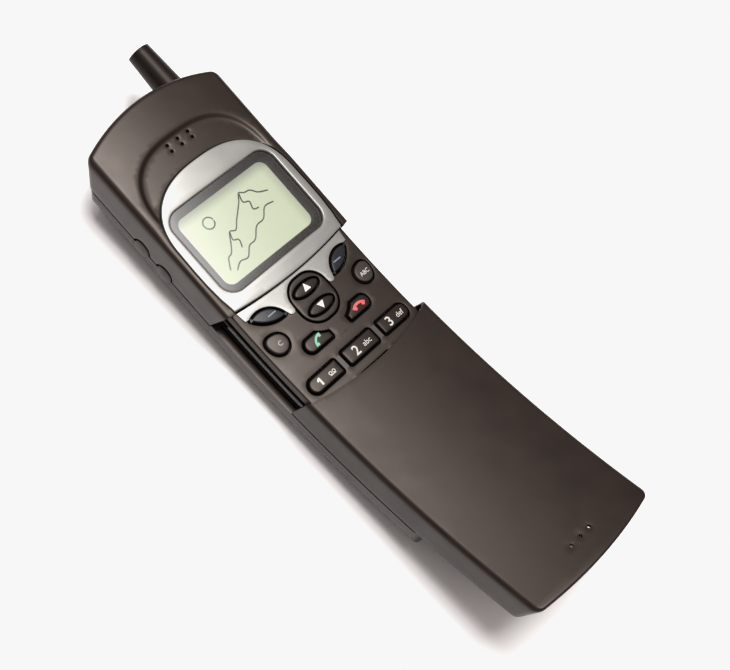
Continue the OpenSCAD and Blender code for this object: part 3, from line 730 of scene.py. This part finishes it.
def display_frame():
    """Dark frame whose walls slope from the window down to the display glass."""
    count = 12
    stages = [(WIN_W - 0.3, WIN_H - 0.3, 4.4, -1.28, 0.0), (WIN_W - 0.3, WIN_H - 0.3, 4.4, -1.1, 1.0),
              (WIN_W - 0.4, WIN_H - 0.4, 4.35, -0.95, 1.0)]
    for i in range(count + 1):
        t = i / count
        ease = 1 - (1 - t) ** 1.5
        stages.append((WIN_W - 1.0 + (LCD_W - WIN_W + 1.0) * t, WIN_H - 1.0 + (LCD_H - WIN_H + 1.0) * t,
                       4.2 + (2.6 - 4.2) * t, -0.95 * (1 - ease) - 1.24 * ease, 1.0 - ease))
    stages.append((LCD_W, LCD_H, 2.6, -1.28, 0.0))
    bm = bmesh.new()
    rows = []
    for w, h, r, d, follow in stages:
        corners = rounded(w, h, r, r, 8)
        rows.append([bm.verts.new(spot(x, -WIN_Y - y, d + follow * crown(x))) for x, y in corners])
    bridge(bm, rows + rows[:1])
    finish_mesh(bm, "frame_funnel", frame_mat, "handset", ["display_frame"], sharp=50)


display_frame()

bm = bmesh.new()
add_plate(bm, densified(placed(rounded(WIN_W - 0.3, WIN_H - 0.3, 4.4, 4.4, 8), 0, -WIN_Y), 0.8), [],
          -0.12, -0.8, 0.12, 2.0)
finish_mesh(bm, "window_pane", window_mat, "handset", ["display_window"])

# ---------------------------------------------------------------- key deck

def number_outline(col, g=0.0):
    if col == 0:
        return rounded(11.6 + 2 * g, 4.8 + 2 * g, 0.8 + g, 0.8 + g)
    side = rounded(10.9 + 2 * g, 4.5 + 2 * g, 2.1 + g, 0.6 + g)
    return side if col < 0 else mirrored(side)


KEYS = {}
for m, name in ((1, "left"), (-1, "right")):
    KEYS["soft_" + name] = (m * LEAF[0], LEAF[1], m, leaf)
for m, names in ((1, ("key_clear", "key_send")), (-1, ("key_letters", "key_end"))):
    KEYS[names[0]] = (m * SHIELD[0], SHIELD[1], m, shield)
    KEYS[names[1]] = (m * CALL[0], CALL[1], m, call)
for name, s in NAV_KEYS.items():
    KEYS[name] = (0, s, 1, oval)
DIGITS = ["1", "2", "3", "4", "5", "6", "7", "8", "9", "star", "0", "hash"]
for i, digit in enumerate(DIGITS):
    col = i % 3 - 1
    KEYS["key_" + digit] = (col * COL_X, ROW_S[i // 3], 1, lambda g=0.0, col=col: number_outline(col, g))


def key_outline(name, g=0.0):
    x, s, m, shape = KEYS[name]
    points = densified(shape(g), 0.5)
    return placed(points if m > 0 else mirrored(points), x, s)


def deck():
    """Deck with its key holes, grooved sides and hollow underside, as one closed solid."""
    bm = bmesh.new()
    start, end, count, across_count = -1.2, DECK_END, 72, 27
    wall, edge_r, hole_r = 1.1, 0.6, 0.18
    groove, hollow, lip = 20.3, 19.2, 20.2
    section = [(DECK_HALF - e, -DECK + crown(DECK_HALF - edge_r) - h) for e, h in rounding(edge_r)]
    section += [(DECK_HALF, -4.4), (groove, -4.4), (groove, -6.15), (DECK_HALF, -6.15), (DECK_HALF, -7.05),
                (groove, -7.05), (groove, -9.0), (DECK_HALF, -9.0), (DECK_HALF, -9.9), (hollow, -9.9),
                (hollow, -4.2), (lip, -4.2), (lip, -DECK - wall + crown(lip))]
    stations = [start + (end - start) * i / count for i in range(count + 1)]
    top_x, low_x = section[0][0], section[-1][0]
    across = [top_x * (1 - 2 * i / (across_count + 1)) for i in range(1, across_count + 1)]
    loop = ([(-top_x, s) for s in stations] + [(-x, end) for x in across]
            + [(top_x, s) for s in reversed(stations)] + [(x, start) for x in across])
    holes = [key_outline(name, KEY_GAP) for name in KEYS]
    holes = [h if area(h) > 0 else h[::-1] for h in holes]
    shrunk = [inset(h[::-1], hole_r)[::-1] for h in holes]
    spots, triangles, where = fill([loop] + shrunk, 1.3)
    upper = [bm.verts.new(spot(x, s, -DECK + crown(x))) for x, s in spots]
    rim = {i for ids in where[1:] for i in ids}
    lower = []
    for i, (x, s) in enumerate(spots):
        squeezed = x * low_x / top_x if i in where[0] else max(-low_x + 0.1, min(low_x - 0.1, x))
        lower.append(None if i in rim else bm.verts.new(spot(squeezed, s, -DECK - wall + crown(squeezed))))
    for hole, ids in zip(holes, where[1:]):
        rows = [[upper[i] for i in ids]]
        for e, h in rounding(hole_r, 3)[1:]:
            edge = inset(hole[::-1], e)[::-1]
            rows.append([bm.verts.new(spot(x, s, -DECK + crown(x) - h)) for x, s in edge])
        rows.append([bm.verts.new(spot(x, s, -DECK - wall + crown(x))) for x, s in hole])
        bridge(bm, rows)
        for i, v in zip(ids, rows[-1]):
            lower[i] = v
    for a, b, c in triangles:
        bm.faces.new((upper[a], upper[b], upper[c]))
        bm.faces.new((lower[c], lower[b], lower[a]))
    n = count + 1
    left = where[0][:n]
    right = where[0][n + across_count:2 * n + across_count][::-1]
    caps = []
    for side, ids in ((-1, left), (1, right)):
        rows = [[upper[i] for i in ids]]
        for x, d in section[1:-1]:
            rows.append([bm.verts.new(spot(side * x, s, d)) for s in stations])
        rows.append([lower[i] for i in ids])
        for a, b in zip(rows, rows[1:]):
            for i in range(n - 1):
                bm.faces.new((a[i], a[i + 1], b[i + 1], b[i]))
        caps.append(rows)
    for k, ids in ((0, where[0][2 * n + across_count:]), (-1, where[0][n:n + across_count])):
        top_line = [upper[i] for i in ids]
        low_line = [lower[i] for i in ids]
        if k == 0:
            top_line, low_line = top_line[::-1], low_line[::-1]
        bm.faces.new([row[k] for row in caps[0]][::-1] + top_line
                     + [row[k] for row in caps[1]] + low_line[::-1])
    finish_mesh(bm, "deck_plate", deck_mat, "handset", ["key_deck"])


deck()


def trim_outline():
    """Silver strip between the housing and the soft keys, with its two tines."""
    upper_arc = turned(arc(0, LEAF_TOP_Y, LEAF_TOP_R + KEY_GAP, 141, 41, 18), LEAF_TILT)
    along_leaf = placed(upper_arc, *LEAF)
    island = placed(rounded(12.6 + 0.8, 14 + 0.8, 5.8, 5.8, 12), 0, NAV_S)
    along_island = [p for p in island if p[0] < -0.01 and p[1] < 7.0]
    along_island.sort(key=lambda p: (-p[1], p[0]))
    left = [(-19.75, 3.35)] + [p for p in along_leaf if p[0] > -19.6]
    left += [(-8.55, 9.55), (-7.9, 9.85), (-7.1, 9.75), (-6.72, 9.2)] + along_island
    top = [20.2 - 40.4 * i / 40 for i in range(41)]
    return left + mirrored(left) + [(x, housing_edge(x, -DECK) + STEP_GAP) for x in top]


bm = bmesh.new()
add_plate(bm, densified(trim_outline(), 0.5), [], -DECK + 0.42, -DECK + 0.02, 0.12, 0.9)
finish_mesh(bm, "trim_strip", silver_mat, "handset", ["softkey_trim"])

bm = bmesh.new()
add_plate(bm, densified(placed(rounded(12.3, 13.7, 5.3, 5.3, 12), 0, NAV_S), 0.5),
          [key_outline("nav_up", KEY_GAP), key_outline("nav_down", KEY_GAP)],
          -DECK + 0.36, -DECK + 0.02, 0.3, 0.9, hole_r=0.15)
finish_mesh(bm, "island_plate", gloss_mat, "handset", ["nav_island"])

# ---------------------------------------------------------------- keys

PILLOW = 0.14
KEY_LOOKS = {"soft_left": soft_mat, "soft_right": soft_mat,
             "key_clear": clear_mat, "key_letters": clear_mat}


def pillow(name):
    cx, cs, _, shape = KEYS[name]
    points = shape()
    a = max(abs(p[0]) for p in points)
    b = max(abs(p[1]) for p in points)
    return lambda x, s: PILLOW * max(0.0, 1 - ((x - cx) / a) ** 2) * max(0.0, 1 - ((s - cs) / b) ** 2)


def key_body(name):
    return "press_" + name.replace("key_", "")


for name in KEYS:
    bm = bmesh.new()
    outline = key_outline(name, -KEY_SHRINK)
    add_plate(bm, outline, [], KEY_TOP - PILLOW, KEY_LOW + 0.4, 0.35, 0.7, lift=pillow(name))
    finish_mesh(bm, name + "_cap", KEY_LOOKS.get(name, key_mat), key_body(name), [name])
    # Under each key is a black collar wider than the key: painted shade in the gap round the key.
    bm = bmesh.new()
    add_plate(bm, key_outline(name, 0.45), [], KEY_LOW + 0.38, KEY_LOW, 0.05, 1.5)
    finish_mesh(bm, name + "_painted_shade_collar", painted_shade_mat, key_body(name))

# ---------------------------------------------------------------- printed marks

LIFT, SINK = 0.03, 0.02


def refined(bm, refine):
    """Breaks flat faces up until no edge is much longer than refine."""
    bmesh.ops.triangulate(bm, faces=bm.faces)
    for _ in range(3):
        long_edges = [e for e in bm.edges if e.calc_length() > refine]
        if not long_edges:
            break
        bmesh.ops.subdivide_edges(bm, edges=long_edges, cuts=1)
        bmesh.ops.triangulate(bm, faces=bm.faces)


def settle(bm, top):
    """Lays flat faces on the surface top(x, s), from SINK under it to LIFT over it."""
    rim = [edge.verts[:] for edge in bm.edges if len(edge.link_faces) == 1]
    fronts = [face.verts[:] for face in bm.faces]
    lower = {}
    for v in bm.verts[:]:
        x, s = v.co.x, v.co.y
        lower[v] = bm.verts.new(spot(x, s, top(x, s) - SINK))
        v.co = spot(x, s, top(x, s) + LIFT)
    for corners in fronts:
        under = [lower[v] for v in reversed(corners)]
        if not bm.faces.get(under):
            bm.faces.new(under)
    for a, b in rim:
        bm.faces.new((a, b, lower[b], lower[a]))


def mark(name, shapes, look, body, top, refine=0.5):
    """Prints filled shapes, each a closed list of (x, s), on the surface top(x, s)."""
    bm = bmesh.new()
    for shape in shapes:
        bm.faces.new([bm.verts.new((x, s, 0)) for x, s in shape])
    refined(bm, refine)
    settle(bm, top)
    finish_mesh(bm, name, look, body)


def lettering(name, text, size, x, s, look, body, top, bold):
    """Prints a line of text with its centre at (x, s), reading along +X."""
    font = bpy.data.curves.new(name, "FONT")
    font.body = text
    font.size = size
    font.offset = bold
    font.align_x = "CENTER"
    font.align_y = "CENTER"
    font.resolution_u = 4
    holder = bpy.data.objects.new(name, font)
    mesh = bpy.data.meshes.new_from_object(holder)
    bpy.data.objects.remove(holder)
    bm = bmesh.new()
    bm.from_mesh(mesh)
    bmesh.ops.remove_doubles(bm, verts=bm.verts, dist=1e-4)
    xs = [v.co.x for v in bm.verts]
    ys = [v.co.y for v in bm.verts]
    mid_x, mid_y = (min(xs) + max(xs)) / 2, (min(ys) + max(ys)) / 2
    for v in bm.verts:
        v.co = (x + (v.co.x - mid_x), s - (v.co.y - mid_y), 0)
    refined(bm, 0.5)
    settle(bm, top)
    finish_mesh(bm, name, look, body)


def band(points, width):
    """Quads of a ribbon along an open line of (x, s)."""
    quads = []
    sides = []
    for i, (x, y) in enumerate(points):
        (xa, ya), (xb, yb) = points[max(0, i - 1)], points[min(len(points) - 1, i + 1)]
        length = math.hypot(xb - xa, yb - ya)
        nx, ny = -(yb - ya) / length * width / 2, (xb - xa) / length * width / 2
        sides.append(((x + nx, y + ny), (x - nx, y - ny)))
    for (a, b), (c, d) in zip(sides, sides[1:]):
        quads.append([a, b, d, c])
    return quads


def key_surface(name):
    lift = pillow(name)
    return lambda x, s: KEY_TOP - PILLOW + crown(x) + lift(x, s)


DIGIT_SIZE, LETTER_SIZE = 4.0, 2.2
LEGENDS = {"1": "oo", "2": "abc", "3": "def", "4": "ghi", "5": "jkl", "6": "mno", "7": "pqrs", "8": "tuv",
           "9": "wxyz", "star": "", "0": "", "hash": ""}
SIGNS = {"star": "*", "hash": "#"}
for i, digit in enumerate(DIGITS):
    name = "key_" + digit
    col, s = i % 3 - 1, ROW_S[i // 3]
    x = col * COL_X
    letters = LEGENDS[digit]
    side = x - 1.9 if letters else x
    top = key_surface(name)
    body = key_body(name)
    if digit == "1":
        stem = [(-0.85, -0.55), (-0.15, -1.15), (0.4, -1.15), (0.4, 1.15), (-0.2, 1.15), (-0.2, -0.4),
                (-0.6, -0.08)]
        mark(name + "_digit", [[(side + u, s + v) for u, v in stem]], legend_mat, body, top)
        left, right, over, under = x + 1.3, x + 3.3, s + 0.62, s + 0.84
        mark(name + "_underline", [[(left, over), (right, over), (right, under), (left, under)]],
             legend_mat, body, top)
    else:
        lettering(name + "_digit", SIGNS.get(digit, digit), DIGIT_SIZE, side, s, legend_mat, body, top,
                  0.045)
    if letters:
        lettering(name + "_letters", letters, LETTER_SIZE, x + 2.3, s + 0.1, legend_mat, body, top, 0.01)

lettering("key_clear_letter", "C", 1.9, -16.6, 13.5, grey_mat, "press_clear",
          key_surface("key_clear"), 0.01)
lettering("key_letters_letters", "ABC", 1.75, 17.0, 13.5, legend_mat, "press_letters",
          key_surface("key_letters"), 0.01)

for name, (xa, xb) in (("soft_left", (-14.2, -11.4)), ("soft_right", (11.6, 14.4))):
    mark(name + "_dash", [[(xa, 5.95), (xb, 5.95), (xb, 6.3), (xa, 6.3)]], dash_mat, key_body(name),
         key_surface(name))
for name, arrow in (("nav_up", [(0, 5.2), (1.15, 7.4), (-1.15, 7.4)]),
                    ("nav_down", [(0, 13.9), (-1.15, 11.9), (1.15, 11.9)])):
    mark(name + "_arrow", [arrow], white_mat, key_body(name), key_surface(name))


def handset_sign(x, s, radius, spread, thick, pad_in, pad_long, tilt):
    """Outline of a telephone handset: an arched bar with a pad under either end."""
    a = spread / 2
    pad = math.degrees(pad_long / radius)
    over, under = radius + thick / 2, radius - thick / 2
    outer = [(over, 90 + a - 2 * a * i / 16) for i in range(17)]
    right = [(under - pad_in, 90 - a), (under - pad_in, 90 - a + pad)]
    inner = [(under, 90 - a + pad + (2 * a - 2 * pad) * i / 12) for i in range(13)]
    left = [(under - pad_in, 90 + a - pad), (under - pad_in, 90 + a)]
    local = []
    for r, angle in outer + right + inner + left:
        t = math.radians(angle)
        local.append((r * math.cos(t), r * math.sin(t) - radius))
    return placed(turned(local, tilt), x, s)


mark("key_send_sign", [handset_sign(-8.35, 18.85, 2.6, 92, 0.62, 0.5, 0.95, 42)], send_mat, "press_send",
     key_surface("key_send"), refine=0.4)
mark("key_end_sign", [handset_sign(8.3, 18.75, 3.2, 88, 0.75, 0.55, 1.2, 0)], end_mat, "press_end",
     key_surface("key_end"), refine=0.4)


def deck_surface(x, s):
    return -DECK + crown(x)


# Black band along the housing's lower edge and black ring round the navigation island: painted shade of
# the step and of the gap there.
across = [-20.0 + 40.0 * i / 60 for i in range(61)]
edge_line = [(x, housing_edge(x, -DECK) - 0.35) for x in across]
mark("step_painted_shade", band(edge_line, 1.9), painted_shade_mat, "handset", deck_surface, refine=1.0)
rim = densified(placed(rounded(12.75, 14.15, 5.55, 5.55, 12), 0, NAV_S), 0.5)
mark("island_painted_shade", band(rim + [rim[0]], 0.75), painted_shade_mat, "handset", deck_surface, refine=1.0)
seam_down = band([(-3.05, 17.4), (-2.95, 19.8), (-2.75, 22.2)], 0.13)
seam_across = band([(-2.75, 22.2), (0.2, 22.25), (3.3, 22.3)], 0.13)
mark("deck_seams", seam_down + seam_across, dark_mat, "handset", deck_surface, refine=1.0)
webs = []
for s in ROW_S:
    for m in (-1, 1):
        webs.append([(m * 7.75, s - 2.15), (m * 6.35, s - 2.15), (m * 6.35, s + 2.0), (m * 7.75, s + 2.0)])
mark("row_webs", webs, web_mat, "handset", lambda x, s: deck_surface(x, s) - 0.015, refine=1.0)

# ---------------------------------------------------------------- picture on the display

def screen(x, s):
    """Surface of the display glass, which is flat."""
    return -1.4


def strokes(lines, width):
    return [quad for line in lines for quad in band(line, width)]


def flowing(points):
    """Smooth line through the given points."""
    def between(a, b, c, d, k):
        bend, twist = 2 * a - 5 * b + 4 * c - d, 3 * b - a - 3 * c + d
        return 0.5 * (2 * b + (c - a) * k + bend * k ** 2 + twist * k ** 3)

    steps = 6
    result = []
    ends = [points[0]] + points + [points[-1]]
    for four in zip(ends, ends[1:], ends[2:], ends[3:]):
        for i in range(steps):
            result.append(tuple(between(*values, i / steps) for values in zip(*four)))
    return result + [points[-1]]


ridge = flowing([(-13.0, -9.6), (-11.0, -12.6), (-9.4, -13.2), (-7.4, -15.6), (-5.6, -18.0), (-3.8, -17.4),
                 (-1.6, -19.4), (0.8, -21.4), (2.6, -23.0), (4.2, -24.8), (5.6, -24.0), (7.4, -23.6),
                 (9.0, -21.8), (11.8, -20.6)])
foot = flowing([(-11.4, -8.6), (-9.0, -10.0), (-6.4, -9.6), (-3.8, -11.8), (-1.2, -12.2), (1.8, -14.8),
                (4.8, -15.2), (7.6, -17.6), (10.8, -17.2)])
fall = flowing([(-5.6, -18.0), (-6.4, -15.8), (-5.0, -14.8), (-5.8, -12.6)])
gully = flowing([(4.2, -24.8), (3.4, -22.2), (5.0, -21.2), (4.4, -19.0), (6.2, -18.4)])
sun = ring(-8.6, -23.2, 1.7, 24)
drawing = [ridge, foot, fall, gully, sun + [sun[0]]]
mark("display_picture", strokes(drawing, 0.4), ink_mat, "handset", screen, refine=2.0)

# ---------------------------------------------------------------- stage, light, camera

floor_mesh = bpy.data.meshes.new("floor")
bm = bmesh.new()
bmesh.ops.create_grid(bm, x_segments=1, y_segments=1, size=6.0)
bm.to_mesh(floor_mesh)
bm.free()
floor = bpy.data.objects.new("floor", floor_mesh)
floor_mesh.materials.append(material("floor_paper", (0.93, 0.925, 0.93), 0.9, patch=0.004, patch_size=3.0,
                                     grain=0.0, specular=0.1))
bpy.context.scene.collection.objects.link(floor)

world = bpy.data.worlds.new("studio")
bpy.context.scene.world = world
world.use_nodes = True
sky = world.node_tree
aim = sky.nodes.new("ShaderNodeTexCoord")
split = sky.nodes.new("ShaderNodeSeparateXYZ")
fade = sky.nodes.new("ShaderNodeValToRGB")
fade.color_ramp.elements[0].position = 0.3
fade.color_ramp.elements[0].color = (0.035, 0.032, 0.03, 1)
fade.color_ramp.elements[1].position = 0.95
fade.color_ramp.elements[1].color = (0.83, 0.745, 0.72, 1)
sky.links.new(aim.outputs["Generated"], split.inputs["Vector"])
sky.links.new(split.outputs["Z"], fade.inputs["Fac"])
sky.links.new(fade.outputs["Color"], sky.nodes["Background"].inputs["Color"])


def lamp(name, place, target, size, power, colour):
    data = bpy.data.lights.new(name, "AREA")
    data.shape = "RECTANGLE"
    data.size, data.size_y = size
    data.energy = power
    data.color = colour
    obj = bpy.data.objects.new(name, data)
    obj.location = place
    obj.rotation_euler = (Vector(target) - Vector(place)).to_track_quat("-Z", "Y").to_euler()
    bpy.context.scene.collection.objects.link(obj)


lamp("overhead", (0.13, 0.3, 2.2), (0, 0, 0), (0.9, 1.0), 64.0, (1.0, 0.985, 0.97))

scene = bpy.context.scene
scene.view_settings.view_transform = "Standard"
PAPER = 0.93  # the brightest value of the picture
scene.view_settings.use_curve_mapping = True
tone = scene.view_settings.curve_mapping
tone.extend = "HORIZONTAL"
tone.use_clip = False
tone.curves[3].points[1].location = (PAPER, PAPER)
tone.update()
camera_data = bpy.data.cameras.new("camera")
camera_data.sensor_width = 36.0
camera_data.lens = 72.76
camera_data.clip_start = 0.01
camera = bpy.data.objects.new("camera", camera_data)
camera.location = (-0.18617, -0.03228, 0.36649)
camera.rotation_euler = [math.radians(a) for a in (23.1257, -17.7548, -46.1770)]
scene.collection.objects.link(camera)
scene.camera = camera
